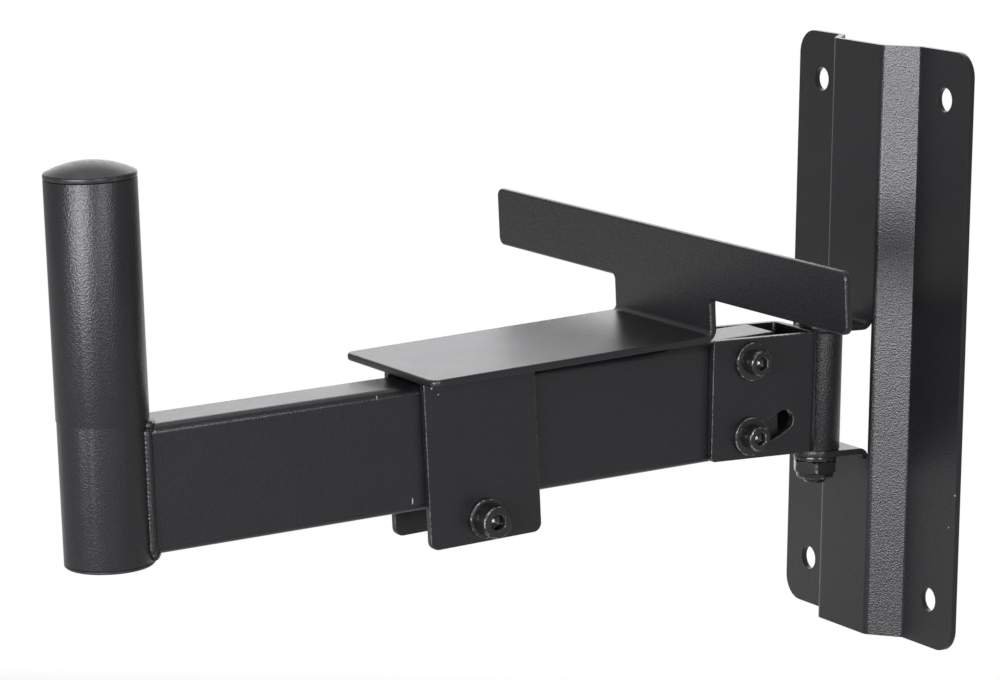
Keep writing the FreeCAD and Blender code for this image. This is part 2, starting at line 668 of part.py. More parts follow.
# Arm and pole
def arm_tube():
    body = new_body("arm_tube")
    outside = [("-arm_half", "-arm_bottom"), ("arm_half", "-arm_bottom"),
               ("arm_half", "arm_top"), ("-arm_half", "arm_top")]
    pad(body, polygon(body, "TubeOutside", "XZ", outside, lift="-arm_heel"), "arm_length")
    corners = [(x * size("arm_half"), z) for x in (-1, 1) for z in (size("arm_top"), -size("arm_bottom"))]
    round_edges(body, "TubeCorners", "arm_corner", "y", corners)
    inside = [("-arm_inner_half", "-arm_inner_bottom"), ("arm_inner_half", "-arm_inner_bottom"),
              ("arm_inner_half", "arm_inner_top"), ("-arm_inner_half", "arm_inner_top")]
    cut_through(body, polygon(body, "TubeInside", "XZ", inside))
    corners = [(x * size("arm_inner_half"), z) for x in (-1, 1)
               for z in (size("arm_inner_top"), -size("arm_inner_bottom"))]
    round_edges(body, "TubeInnerCorners", "arm_inner_corner", "y", corners)
    cut_through(body, circles(body, "PoleSeat", "XY", "pole_foot", [("0", "-pole_reach")]))
    cut_through(body, circles(body, "TiltBearing", "YZ", "yoke_screw_bearing", [("0", "0")]))
    cut_through(body, circles(body, "LockHole", "YZ", "yoke_screw_hole", [("-lock_ahead", "-lock_below")]))
    return node(body, "arm_tube", arm)


def on_pole(height):
    """A spot on the pole's axis at a height above the arm's centre line."""
    return Vector(0, -size("pole_reach"), height - size("tilt_rise"))


def pole_outline(name):
    """The pole without its bore; its foot is turned down a little to enter the arm's holes."""
    foot = cylinder(name + "Foot", "pole_foot", "pole_foot_length")
    bind(foot, Placement__Base__z="-pole_below")
    upper = cylinder(name + "Upper", "pole_radius", "pole_upper_length")
    bind(upper, Placement__Base__z="pole_shoulder")
    return joined(name, foot, upper)


def pole():
    bore = cylinder("PoleBore", "pole_bore", "pole_length")
    bind(bore, Placement__Base__z="-pole_below")
    node(cut("PoleBored", pole_outline("PoleSolid"), bore), "pole", arm, on_pole(0))


def pole_weld():
    """The bead all round the joint of arm and pole: two upright runs and two runs round the pole."""
    runs = []
    for side, tag in ((1, "Right"), (-1, "Left")):
        run = cylinder("PoleBead" + tag, "pole_weld_radius", "arm_height")
        run.setExpression("Placement.Base.x", f"{side} * Sizes.arm_half")
        bind(run, Placement__Base__y="pole_weld_back")
        run.setExpression("Placement.Base.z", "-Sizes.arm_height / 2")
        runs.append(run)
    for side, tag in ((1, "Top"), (-1, "Bottom")):
        ring = bind(doc.addObject("Part::Torus", "PoleBead" + tag), Radius1="pole_foot")
        bind(ring, Radius2="pole_weld_radius")
        ring.setExpression("Placement.Base.z", f"{side} * Sizes.arm_height / 2")
        strip = box(f"PoleBead{tag}Space", "arm_width", "pole_radius", "arm_height")
        strip.setExpression("Width", "Sizes.pole_radius + Sizes.pole_weld_radius")
        strip.setExpression("Placement.Base.x", "-Sizes.arm_half")
        strip.setExpression("Placement.Base.z", f"{side} * Sizes.arm_height / 2 - Sizes.arm_height / 2")
        runs.append(shared(f"PoleRun{tag}", ring, strip))
        for hand, word in ((1, "Right"), (-1, "Left")):
            corner = bind(doc.addObject("Part::Sphere", f"PoleBead{tag}{word}"), Radius="pole_weld_radius")
            corner.setExpression("Placement.Base.x", f"{hand} * Sizes.arm_half")
            bind(corner, Placement__Base__y="pole_weld_back")
            corner.setExpression("Placement.Base.z", f"{side} * Sizes.arm_height / 2")
            runs.append(corner)
    core = box("ArmSpace", "arm_width", "arm_height", "arm_height")
    core.setExpression("Placement.Base.x", "-Sizes.arm_half")
    core.setExpression("Placement.Base.z", "-Sizes.arm_height / 2")
    below = cylinder("PlugSpace", "pole_foot", "pole_below")
    below.setExpression("Placement.Base.z", "-2 * Sizes.pole_below")
    space = joined("PoleWeldSpace", pole_outline("PoleSpace"), below, core)
    node(cut("PoleBeads", joined("PoleBeadsRaw", *runs), space), "pole_weld", arm, on_pole(0))


def pole_ends():
    """The domed plastic cap in the top of the pole and the flat plug in its bottom."""
    sphere = bind(doc.addObject("Part::Sphere", "CapSphere"), Radius="dome_sphere")
    sphere.setExpression("Placement.Base.z", "Sizes.cap_rim + Sizes.cap_dome - Sizes.dome_sphere")
    round_edge = cylinder("CapRound", "pole_radius", "cap_rim")
    round_edge.setExpression("Height", "Sizes.cap_rim + Sizes.cap_dome")
    skirt = cylinder("CapSkirt", "insert_radius", "cap_skirt")
    bind(skirt, Placement__Base__z="-cap_skirt")
    hollow = cylinder("CapHollow", "insert_bore", "cap_skirt")
    bind(hollow, Placement__Base__z="-cap_skirt")
    cap = joined("CapSolid", shared("CapDome", sphere, round_edge), skirt)
    node(cut("CapShell", cap, hollow), "pole_cap", arm, on_pole(size("pole_above")))

    rim = cylinder("PlugRim", "pole_foot", "plug_rim")
    edge = bevel("PlugEdge", rim, "plug_edge", 0.0)
    bind(edge, Placement__Base__z="-plug_rim")
    stem = cylinder("PlugStem", "insert_radius", "cap_skirt")
    room = cylinder("PlugHollow", "insert_bore", "cap_skirt")
    plug = joined("PlugSolid", edge, stem)
    node(cut("PlugShell", plug, room), "pole_plug", arm, on_pole(-size("pole_below")))


# Sliding stop
def stop_plate():
    """One sheet: the plate over the arm, the neck folded up from it and the long bar across."""
    body = new_body("stop_plate")
    profile = [("-stop_overhang", "saddle_top"), ("neck_inner", "saddle_top"), ("neck_inner", "bar_top"),
               ("stop_neck_back", "bar_top"), ("stop_neck_back", "stop_top"), ("-stop_overhang", "stop_top")]
    pad(body, polygon(body, "StopProfile", "YZ", profile), "bar_length", both_ways=True)
    round_edges(body, "FoldOutside", "stop_bend_outer", "x", [(size("neck_inner"), size("saddle_top"))])
    round_edges(body, "FoldInside", "stop_bend", "x", [(size("stop_neck_back"), size("stop_top"))])
    for tag, side in (("Right", ""), ("Left", "-")):
        waste = [(side + "stop_half", "saddle_under"), (side + "bar_length", "saddle_under"),
                 (side + "bar_length", "bar_foot"), (side + "stop_half", "bar_foot")]
        cut_through(body, polygon(body, "Waste" + tag, "XZ", waste))
    sides = (-1, 1)
    ends = [(side * size("bar_half"), z) for side in sides for z in (size("bar_foot"), size("bar_top"))]
    round_edges(body, "BarCorners", "bar_corner", "y", ends)
    neck = [(side * size("stop_half"), size("bar_foot")) for side in sides]
    round_edges(body, "NeckCorners", "neck_fillet", "y", neck)
    ends = [(side * size("stop_half"), -size("stop_overhang")) for side in sides]
    round_edges(body, "PlateCorners", "stop_corner", "z", ends)
    return node(body, "stop_plate", stop)


def stop_saddle():
    """The folded U that straddles the arm, with the clamp screw's holes below it."""
    body = new_body("stop_saddle")
    section = [("-saddle_half", "-saddle_drop"), ("-saddle_inner", "-saddle_drop"),
               ("-saddle_inner", "saddle_under"), ("saddle_inner", "saddle_under"),
               ("saddle_inner", "-saddle_drop"), ("saddle_half", "-saddle_drop"),
               ("saddle_half", "saddle_top"), ("-saddle_half", "saddle_top")]
    pad(body, polygon(body, "SaddleSection", "XZ", section), "saddle_length", both_ways=True)
    outer = [(side * size("saddle_half"), size("saddle_top")) for side in (-1, 1)]
    inner = [(side * size("saddle_inner"), size("saddle_under")) for side in (-1, 1)]
    round_edges(body, "SaddleOuterBends", "saddle_bend_outer", "y", outer)
    round_edges(body, "SaddleInnerBends", "saddle_bend", "y", inner)
    corners = [(side * size("saddle_end"), -size("saddle_drop")) for side in (-1, 1)]
    round_edges(body, "SkirtCorners", "saddle_corner", "x", corners)
    cut_through(body, circles(body, "ClampHoles", "YZ", "clamp_screw_hole", [("0", "-clamp_drop")]))
    return node(body, "stop_saddle", stop)


def saddle_welds():
    """Two beads between the saddle's bends and the underside of the plate."""
    lying = Rotation(Vector(0, 0, 1), Vector(0, 1, 0))
    beads = []
    for side, tag in ((1, "Right"), (-1, "Left")):
        bead = cylinder("SaddleBead" + tag, "saddle_weld_radius", "saddle_weld_length")
        place = Vector(side * size("saddle_weld_x"), -size("saddle_weld_length") / 2, size("saddle_weld_z"))
        bead.Placement = Placement(place, lying)
        beads.append(bead)
    plate = box("PlateSpace", "stop_plate_width", "bar_length", "stop_sheet")
    plate.Placement = Placement(Vector(-size("stop_half"), -size("bar_half"), size("saddle_top")), Rotation())
    block = box("SaddleBlock", "saddle_width", "saddle_length", "saddle_top")
    block.Placement = Placement(Vector(-size("saddle_half"), -size("saddle_end"), 0), Rotation())
    doc.recompute()
    tops = [(side * size("saddle_half"), size("saddle_top")) for side in (-1, 1)]
    rounded = doc.addObject("Part::Fillet", "SaddleRounded")
    rounded.Base = block
    radius = size("saddle_bend_outer")
    rounded.Edges = [(number, radius, radius) for number in straight_edges(block.Shape, "y", tops)]
    space = joined("SaddleWeldSpace", plate, rounded)
    node(cut("SaddleBeads", joined("SaddleBeadsRaw", *beads), space), "saddle_welds", stop)


wall_plate()
pivot_bolt()
yoke()
hinge_barrel()
barrel_welds()
cross_screw("tilt", "yoke_screw", yoke_frame, tilt_spot, size("yoke_half"))
arm_tube()
pole()
pole_weld()
pole_ends()
lock_spot = Vector(0, -size("lock_ahead"), -size("lock_below"))
cross_screw("lock", "yoke_screw", arm, lock_spot, size("yoke_half"))
stop_plate()
stop_saddle()
saddle_welds()
cross_screw("clamp", "clamp_screw", stop, Vector(0, 0, -size("clamp_drop")), size("saddle_half"))
doc.recompute()

# Every object has to be sound before anything is written
for item in doc.Objects:
    if "Invalid" in item.State or "Error" in item.State:
        raise ValueError(f"{item.Name} failed: {item.State}")
for item in nodes:
    if item.Shape.isNull() or not item.Shape.isValid() or not item.Shape.Solids:
        raise ValueError(f"{item.Label} has no sound shape")
for item in nodes:
    item.Shape.exportStep(f"parts/{item.Label}.step")
    solids = item.Shape.Solids
    print(f"{item.Label}: {len(solids)} solid(s), {item.Shape.Volume / 1000:.2f} cm3")
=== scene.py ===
# %% [markdown]
# # A speaker wall bracket in black powder coat
# The bracket has four groups of steel pieces.
# A pressed plate goes on the wall, a yoke swings on it, a box arm tilts in the yoke
# and a stop with a long bar slides along the arm.
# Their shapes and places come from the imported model, in metres, with the wall at Y = 0
# and the arm reaching out along -Y.
# This script gives every surface its finish, and models the small turned and welded
# pieces more finely: screws, nuts, washers, welds and the pole's two plastic ends.

# %%
import json
import math

import bmesh
import bpy
from mathutils import Matrix, Vector


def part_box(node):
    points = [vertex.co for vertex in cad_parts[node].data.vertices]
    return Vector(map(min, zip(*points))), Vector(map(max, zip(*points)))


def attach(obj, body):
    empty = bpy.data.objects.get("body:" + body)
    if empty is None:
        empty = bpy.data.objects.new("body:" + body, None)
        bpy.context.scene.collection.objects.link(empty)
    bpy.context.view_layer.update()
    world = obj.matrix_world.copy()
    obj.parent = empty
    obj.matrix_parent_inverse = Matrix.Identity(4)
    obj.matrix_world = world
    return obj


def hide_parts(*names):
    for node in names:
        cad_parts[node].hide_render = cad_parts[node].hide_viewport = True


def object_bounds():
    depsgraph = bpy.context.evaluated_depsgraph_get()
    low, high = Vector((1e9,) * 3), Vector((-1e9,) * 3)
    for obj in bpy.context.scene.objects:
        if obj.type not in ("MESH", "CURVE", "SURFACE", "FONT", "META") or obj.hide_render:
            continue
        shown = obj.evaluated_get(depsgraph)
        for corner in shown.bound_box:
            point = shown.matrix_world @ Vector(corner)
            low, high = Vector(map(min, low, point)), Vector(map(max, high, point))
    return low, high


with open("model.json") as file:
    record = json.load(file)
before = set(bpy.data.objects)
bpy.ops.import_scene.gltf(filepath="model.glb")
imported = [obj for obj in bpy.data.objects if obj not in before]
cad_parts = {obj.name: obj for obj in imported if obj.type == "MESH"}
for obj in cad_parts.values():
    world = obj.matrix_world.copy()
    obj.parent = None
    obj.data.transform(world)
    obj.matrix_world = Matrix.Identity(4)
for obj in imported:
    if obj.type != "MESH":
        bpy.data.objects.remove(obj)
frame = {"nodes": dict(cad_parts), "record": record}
nodes = frame["nodes"]
bounds_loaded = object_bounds()
MM = 0.001

# %% [markdown]
# ## Camera
# The photograph was taken from the front right, a little above the arm, with a long lens.
# The angles, distance and lens below came from measured corners of the bracket,
# and the picture was cropped off centre, which the two shifts repeat.

# %%
scene = bpy.context.scene
scene.view_settings.view_transform = "Standard"

AZIMUTH = math.radians(58.5785)
ELEVATION = math.radians(10.1989)
ROLL = math.radians(0.9528)
DISTANCE = 1.56844
AIM = Vector((0, -0.150, 0))

back = Vector((
    math.sin(AZIMUTH) * math.cos(ELEVATION),
    -math.cos(AZIMUTH) * math.cos(ELEVATION),
    math.sin(ELEVATION),
))
level = Vector((math.cos(AZIMUTH), math.sin(AZIMUTH), 0))
upright = back.cross(level)
right = level * math.cos(ROLL) + upright * math.sin(ROLL)
up = upright * math.cos(ROLL) - level * math.sin(ROLL)

camera = bpy.data.objects.new("camera", bpy.data.cameras.new("camera"))
scene.collection.objects.link(camera)
scene.camera = camera
camera.data.lens = 141.14
camera.data.sensor_width = 36
camera.data.shift_x = -0.0736
camera.data.shift_y = 0.0237
camera.data.clip_start = 0.05
camera.data.clip_end = 60
axes = Matrix((right, up, back)).transposed().to_4x4()
camera.matrix_world = Matrix.Translation(AIM + back * DISTANCE) @ axes
print("camera stands at", [round(x, 3) for x in camera.matrix_world.translation])

# %% [markdown]
# ## A small language for finishes
# A finish is a sum of noises, masks and ramps, so it reads best as arithmetic.
# `Wire` stands for one output of a shader node and carries the usual operators.
# `Finish` holds one material and makes any node from its type, settings and inputs.

# %%
class Wire:
    """One output of a finish's nodes. Numbers use Math nodes, colours and vectors Vector Math."""

    def __init__(self, finish, socket):
        self.finish = finish
        self.socket = socket

    def join(self, operation, first, second=None):
        wide = any(is_wide(side) for side in (first, second))
        kind = "VectorMath" if wide else "Math"
        made = self.finish.node(kind, {"operation": operation})
        for socket, side in zip(made.inputs, (first, second)):
            if side is None:
                continue
            if wide and isinstance(side, (int, float)):
                side = (side, side, side)
            self.finish.feed(socket, side)
        return Wire(self.finish, made.outputs[0])

    def __add__(self, other):
        return self.join("ADD", self, other)

    def __radd__(self, other):
        return self.join("ADD", other, self)

    def __sub__(self, other):
        return self.join("SUBTRACT", self, other)

    def __rsub__(self, other):
        return self.join("SUBTRACT", other, self)

    def __mul__(self, other):
        return self.join("MULTIPLY", self, other)

    def __rmul__(self, other):
        return self.join("MULTIPLY", other, self)

    def __truediv__(self, other):
        return self.join("DIVIDE", self, other)

    def __rtruediv__(self, other):
        return self.join("DIVIDE", other, self)

    def __pow__(self, other):
        return self.join("POWER", self, other)

    def __rpow__(self, other):
        return self.join("POWER", other, self)

    def __neg__(self):
        return self * -1.0

    def least(self, other):
        return self.join("MINIMUM", self, other)

    def most(self, other):
        return self.join("MAXIMUM", self, other)

    def along(self, direction):
        """How far a place lies along a direction, as one number."""
        inputs = {0: self, 1: tuple(direction)}
        return self.finish.wire("VectorMath", {"operation": "DOT_PRODUCT"}, inputs, output=1)

    def gap(self, spot):
        """The distance from a place to one spot."""
        inputs = {0: self, 1: tuple(spot)}
        return self.finish.wire("VectorMath", {"operation": "DISTANCE"}, inputs, output=1)

    def ramp(self, low, high, start=0.0, end=1.0):
        """Runs smoothly from start to end while the value runs from low to high."""
        settings = {"interpolation_type": "SMOOTHSTEP"}
        inputs = {"Value": self, "From Min": low, "From Max": high, "To Min": start, "To Max": end}
        return self.finish.wire("MapRange", settings, inputs)


def is_wide(side):
    """True for a colour or a vector, as a wire or as plain numbers."""
    if isinstance(side, Wire):
        return side.socket.type in ("VECTOR", "RGBA")
    return isinstance(side, (tuple, list, Vector))


class Finish:
    """One material, or the room's light. Its nodes are made one by one, from numbers or wires."""

    def __init__(self, name, library=None):
        self.material = (bpy.data.materials if library is None else library).new(name)
        self.material.use_nodes = True
        self.tree = self.material.node_tree
        self.tree.nodes.clear()

    def feed(self, socket, value):
        if isinstance(value, Wire):
            self.tree.links.new(value.socket, socket)
        elif socket.type == "RGBA" and len(value) == 3:
            socket.default_value = (*value, 1)
        else:
            socket.default_value = value

    def node(self, kind, settings=None, inputs=None):
        """Any shader node: its settings first, and then its inputs by name."""
        made = self.tree.nodes.new("ShaderNode" + kind)
        for key, value in (settings or {}).items():
            setattr(made, key, value)
        for key, value in (inputs or {}).items():
            self.feed(made.inputs[key], value)
        return made

    def wire(self, kind, settings=None, inputs=None, output=0):
        return Wire(self, self.node(kind, settings, inputs).outputs[output])

    def place(self):
        """Where a point lies in the piece's own coordinates, in metres."""
        return self.wire("TexCoord", output="Object")

    def noise(self, scale, detail=2.0, roughness=0.5, at=None):
        inputs = {"Vector": at or self.place(), "Scale": scale, "Detail": detail, "Roughness": roughness}
        return self.wire("TexNoise", inputs=inputs)

    def cells(self, scale):
        """The distance to the nearest of many scattered points, which gives rounded cells."""
        return self.wire("TexVoronoi", inputs={"Vector": self.place(), "Scale": scale})

    def blend(self, share, first, second):
        """A colour between two others."""
        made = self.node("Mix", {"data_type": "RGBA"})
        self.feed(made.inputs["Factor"], share)
        self.feed(made.inputs[6], first)
        self.feed(made.inputs[7], second)
        return Wire(self, made.outputs[2])

    def bump(self, height, depth, strength=1.0):
        """A surface roughened by height, which runs from 0 to 1 over a depth in metres."""
        return self.wire("Bump", inputs={"Height": height, "Distance": depth, "Strength": strength})

    def close(self, surface, output="OutputMaterial"):
        """Ends the finish in one surface, given as a wire or as the inputs of a plain one."""
        if isinstance(surface, dict):
            surface = self.wire("BsdfPrincipled", inputs=surface)
        self.node(output, inputs={"Surface": surface})
        return self.material


print("shader arithmetic is ready")

# %% [markdown]
# ## The studio
# A broad pale floor lies below the bracket. Behind the bracket, where the camera looks past it,
# the same sheet is plain white, as a paper sweep would be, and near the bracket it stays
# a real surface that takes its shadow.
# Black satin steel shows the room more than its own colour, so the lamps are placed by what
# the surfaces mirror: a wide soft lamp on the left of the camera gives the broad light
# on the pole and on the plate's sloped web, and a weaker one on the right gives the second.
# Two faint lamps, behind and above, put an even sheen on the tops of the arm and the stop.

# %%
FLOOR_DROP = 0.09
FLOOR_SIZE = 30
SWEEP_FROM, SWEEP_TO = 0.19, 0.33
SWEEP_NEAR = 2.2
SWEEP_EDGE, SWEEP_END = 0.035, 0.06
AWAY = -Vector((back.x, back.y, 0)).normalized()


def pale_floor():
    """A flat pale floor that turns plain white behind the bracket, in a wedge as wide as the view."""
    mesh = bpy.data.meshes.new("floor")
    half = FLOOR_SIZE / 2
    corners = [(-half, -half, 0), (half, -half, 0), (half, half, 0), (-half, half, 0)]
    mesh.from_pydata(corners, [], [(0, 1, 2, 3)])
    floor = bpy.data.objects.new("floor", mesh)
    floor.location.z = bounds_loaded[0].z - FLOOR_DROP
    scene.collection.objects.link(floor)
    paper = Finish("pale floor")
    place = paper.place()
    speckle = paper.noise(900)
    colour = paper.blend(speckle, (0.57, 0.57, 0.57), (0.61, 0.61, 0.61))
    plain = paper.wire("BsdfPrincipled", inputs={"Base Color": colour, "Roughness": 0.9})
    white = paper.wire("Emission", inputs={"Color": (1, 1, 1), "Strength": 1.0})
    ahead = place.along(AWAY) - AIM.dot(AWAY)
    aside = (place.along(level) - AIM.dot(level)) / (ahead.most(0) + SWEEP_NEAR)
    in_view = ahead.ramp(SWEEP_FROM, SWEEP_TO) * (aside * aside).ramp(SWEEP_EDGE, SWEEP_END, 1, 0)
    light = paper.node("LightPath").outputs
    seen = Wire(paper, light["Is Camera Ray"]) + Wire(paper, light["Is Glossy Ray"])
    seen = (seen + Wire(paper, light["Is Transmission Ray"])).least(1)
    paper.close(paper.wire("MixShader", inputs={0: in_view * seen, 1: plain, 2: white}))
    mesh.materials.append(paper.material)


LAMP_COLOUR = (1.0, 0.985, 1.03)


def soft_lamp(name, place, target, width, height, radiance):
    """A rectangular softbox at a place, turned to a target, as bright as a surface of that radiance."""
    lamp = bpy.data.lights.new(name, "AREA")
    lamp.shape = "RECTANGLE"
    lamp.size = width
    lamp.size_y = height
    lamp.energy = radiance * math.pi * width * height
    lamp.color = LAMP_COLOUR
    holder = bpy.data.objects.new(name, lamp)
    holder.location = place
    holder.rotation_euler = (Vector(target) - Vector(place)).to_track_quat("-Z", "Y").to_euler()
    holder.visible_camera = False
    scene.collection.objects.link(holder)


def room():
    """The room's own soft light: dim all round, and bright low down behind the bracket."""
    air = Finish("room", bpy.data.worlds)
    way = air.wire("TexCoord", output="Generated")
    height = way.along((0, 0, 1))
    sky = height.ramp(-0.2, 0.2, 0.22, 0.40)
    glow = way.along(AWAY).ramp(0.6, 0.95) * height.ramp(-0.1, 0.02) * 0.7
    shine = air.wire("Background", inputs={"Color": sky + glow, "Strength": 1.0})
    scene.world = air.close(shine, "OutputWorld")


def around(turn, reach, height):
    """A place at a turn round the bracket, in degrees from straight out of the wall to the right."""
    turn = math.radians(turn)
    return Vector((reach * math.sin(turn), AIM.y - reach * math.cos(turn), height))


pale_floor()
room()
behind = AIM + AWAY * 2.6 + Vector((0, 0, 0.95))
soft_lamp("key lamp", around(30, 2.2, 0.17), (0, AIM.y, 0.17), width=1.45, height=0.75, radiance=16)
soft_lamp("fill lamp", around(84, 2.4, 0.50), (0, AIM.y, 0.50), width=0.60, height=1.1, radiance=10)
soft_lamp("back lamp", behind, AIM, width=2.2, height=1.8, radiance=1.0)
soft_lamp("top lamp", (-0.2, -0.3, 2.0), AIM, width=1.8, height=1.8, radiance=1.0)
print("floor, room and four lamps are set")

# %% [markdown]
# ## Powder coat, blackened steel and plastic
# Powder coat is a baked plastic skin. It has a satin gloss and an orange peel with grains
# of about a millimetre, which break up every broad highlight.
# The peel is a bump made of rounded cells and a finer noise, and the gloss varies with patches.
# Sheared edges show a thinner, slightly reddish skin with bare specks, painted lighter than that skin
# alone, so that it is partly a painted highlight along the edge. A few chips and dots
# are placed where the photograph has them: each is a small mask round one spot of the piece.
# Screws and nuts are blackened and oiled, which is glossier, and their rims are rubbed to the metal.

# %%
COAT_COLOUR = (0.0070, 0.0071, 0.0082)
COAT_LIGHTER = (0.0105, 0.0106, 0.0120)
# The thin reddish skin of sheared edges, painted lighter than it is, so that it also stands in for the
# highlight along them.
THIN_COAT_AND_EDGE_HIGHLIGHT = (0.10, 0.080, 0.078)
DARK_DOT = (0.002, 0.002, 0.002)
BARE_STEEL = (0.36, 0.35, 0.34)
PEEL_CELLS = 1350
PEEL_GRAIN = 2300
PEEL_DEPTH = 0.17


def spots_mask(coat, spots):
    """One where any of the listed spots is: each has a place in mm, a size in mm and a stretch along Z."""
    place = coat.place()
    mask = None
    for spot, width, stretch in spots:
        squeeze = (1, 1, 1 / stretch)
        squeezed = place * squeeze
        centre = [a * MM * b for a, b in zip(spot, squeeze)]
        ragged = squeezed.gap(centre) + coat.noise(2500) * (0.5 * width * MM)
        one = ragged.ramp(0.55 * width * MM, 0.85 * width * MM, 1, 0)
        mask = one if mask is None else mask.most(one)
    return mask


def powder_coat(name, gloss=0.30, deep=PEEL_DEPTH, rubbed=False, chips=(), dots=()):
    """The coat of one piece, or the thin, rubbed coat on its edges, painted lighter as a highlight along
    them.
    """
    coat = Finish(name)
    peel = coat.cells(PEEL_CELLS) * 0.5 + coat.noise(PEEL_GRAIN, detail=2.0) * 0.5
    patches = coat.noise(55, detail=3.0)
    speckle = coat.noise(2600, detail=1.0).ramp(0.62, 0.74)
    colour = coat.blend(patches * 0.5 + speckle * 0.4, COAT_COLOUR, COAT_LIGHTER)
    # On edges the coat becomes a thin reddish skin with bare specks, painted lighter than that skin alone
    # as a highlight along the edge.
    if rubbed:
        bare = coat.noise(700, detail=4.0, roughness=0.7).ramp(0.42, 0.62)
        colour = coat.blend(bare, colour, THIN_COAT_AND_EDGE_HIGHLIGHT)
    if chips:
        colour = coat.blend(spots_mask(coat, chips), colour, BARE_STEEL)
    if dots:
        colour = coat.blend(spots_mask(coat, dots), colour, DARK_DOT)
    inputs = {
        "Base Color": colour,
        "Roughness": patches.ramp(0.3, 0.7, gloss - 0.008, gloss + 0.012),
        "Normal": coat.bump(peel, deep * MM, 0.8),
    }
    return coat.close(inputs)


def black_oxide():
    """Blackened, oiled steel, as on screws, washers and nuts."""
    steel = Finish("black oxide")
    grain = steel.noise(1800, detail=3.0)
    patches = steel.noise(240, detail=2.0)
    inputs = {
        "Base Color": steel.blend(grain, (0.0065, 0.0065, 0.0070), (0.0140, 0.0138, 0.0135)),
        "Roughness": patches.ramp(0.3, 0.7, 0.14, 0.24),
        "Normal": steel.bump(grain, 0.015 * MM, 0.5),
    }
    return steel.close(inputs)


def rubbed_steel(name, first, last, bright):
    """The same steel where the black is rubbed or drilled away, the more so the lower first and last."""
    steel = Finish(name)
    worn = steel.noise(520, detail=4.0).ramp(first, last)
    inputs = {
        "Base Color": steel.blend(worn, (0.016, 0.0155, 0.015), (bright, bright, bright)),
        "Metallic": worn * 0.8,
        "Roughness": 0.26 - worn * 0.06,
    }
    return steel.close(inputs)


def moulded_plastic():
    """Black moulded plastic with a fine spark-eroded grain and faint rubbing marks."""
    plastic = Finish("moulded plastic")
    grain = plastic.noise(2400, detail=2.0)
    rubbed = plastic.noise(160, detail=4.0, at=plastic.place() * (1, 3, 1)).ramp(0.45, 0.75)
    inputs = {
        "Base Color": plastic.blend(rubbed, (0.011, 0.011, 0.012), (0.030, 0.030, 0.031)),
        "Roughness": rubbed * 0.08 + 0.34,
        "Normal": plastic.bump(grain, 0.03 * MM, 0.5),
    }
    return plastic.close(inputs)


FINISHES = {
    "powder_coat": powder_coat("powder coat"),
    "black_fastener": black_oxide(),
    "black_plastic": moulded_plastic(),
}
RUBBED_STEEL = rubbed_steel("rubbed steel", 0.46, 0.66, 0.29)
DRILLED_STEEL = rubbed_steel("drilled steel", 0.2, 0.4, 0.8)
# The edge coat is partly a real thin coat and partly a painted highlight along the edge.
RUBBED_COAT_AND_EDGE_HIGHLIGHT = powder_coat("rubbed powder coat and painted edge highlight", rubbed=True)
OWN_FINISH = {
    "hinge_barrel": powder_coat("powder coat of the barrel", gloss=0.33, deep=2 * PEEL_DEPTH),
    "pole": powder_coat("powder coat of the pole", gloss=0.32, deep=1.15 * PEEL_DEPTH),
    "stop_saddle": powder_coat(
        "powder coat of the saddle",
        chips=[((16, -224, -1), 0.8, 2.2), ((16, -221, -4), 0.6, 1), ((16, -222.5, 2), 0.5, 1)],
        dots=[((16, -197, -32), 0.9, 1), ((16, -211, -40), 0.8, 1)],
    ),
    "arm_tube": powder_coat(
        "powder coat of the arm",
        chips=[((12, -246, -4.5), 0.9, 3.5), ((12.5, -230, -46), 0.6, 4.5), ((12.5, -340, -8.5), 0.7, 1.5)],
    ),
    "wall_plate": powder_coat(
        "powder coat of the plate",
        chips=[((59.5, -2.5, -57), 0.7, 1.5), ((56, -2.5, -71), 0.6, 1)],
        dots=[((-36.5, -2.5, 103), 1.5, 1)],
    ),
}
print("finishes:", ", ".join(FINISHES), "and", len(OWN_FINISH), "coats of single pieces")

# %% [markdown]
# ## Finishing the sheet and tube pieces
# Each piece of the imported model takes the finish that its own slot names.
# Sheared sheet has a slightly broken edge under its coat, so a small bevel runs along
# the sharp edges. It catches the thin line of light that marks every edge in the photograph.
# The imported faces are triangles that come apart from each other, so a weld joins them and
# the flat ones become single faces before the bevel.
# On the yoke and the saddle the bevel takes the rubbed coat, as the photograph shows there, and its lighter
# colour is partly a real thin coat and partly a painted highlight along the edge.

# %%
EDGE_BREAK = {
    "wall_plate": 0.5, "yoke": 0.6, "hinge_barrel": 0.6, "arm_tube": 0.4, "pole": 0.8,
    "stop_plate": 0.9, "stop_saddle": 0.6,
}
# The bevels of these pieces take the rubbed coat with its painted edge highlight.
RUBBED_AND_HIGHLIT_EDGES = ("yoke", "stop_saddle")
WELD_GAP = 0.01
FLAT_WITHIN = 0.3
SHARP_FROM = 40


def break_edges(piece, width):
    weld = piece.modifiers.new("joined faces", "WELD")
    weld.merge_threshold = WELD_GAP * MM
    plain = piece.modifiers.new("plain faces", "DECIMATE")
    plain.decimate_type = "DISSOLVE"
    plain.angle_limit = math.radians(FLAT_WITHIN)
    bevel = piece.modifiers.new("broken edges", "BEVEL")
    bevel.width = width * MM
    bevel.segments = 3
    bevel.limit_method = "ANGLE"
    bevel.angle_limit = math.radians(SHARP_FROM)
    bevel.harden_normals = True
    bevel.material = len(piece.data.materials) - 1


def finish_piece(name, slot):
    piece = nodes[name]
    piece.data.materials.clear()
    piece.data.materials.append(OWN_FINISH.get(name, FINISHES[slot]))
    if name in RUBBED_AND_HIGHLIT_EDGES:
        piece.data.materials.append(RUBBED_COAT_AND_EDGE_HIGHLIGHT)
    if name in EDGE_BREAK:
        break_edges(piece, EDGE_BREAK[name])


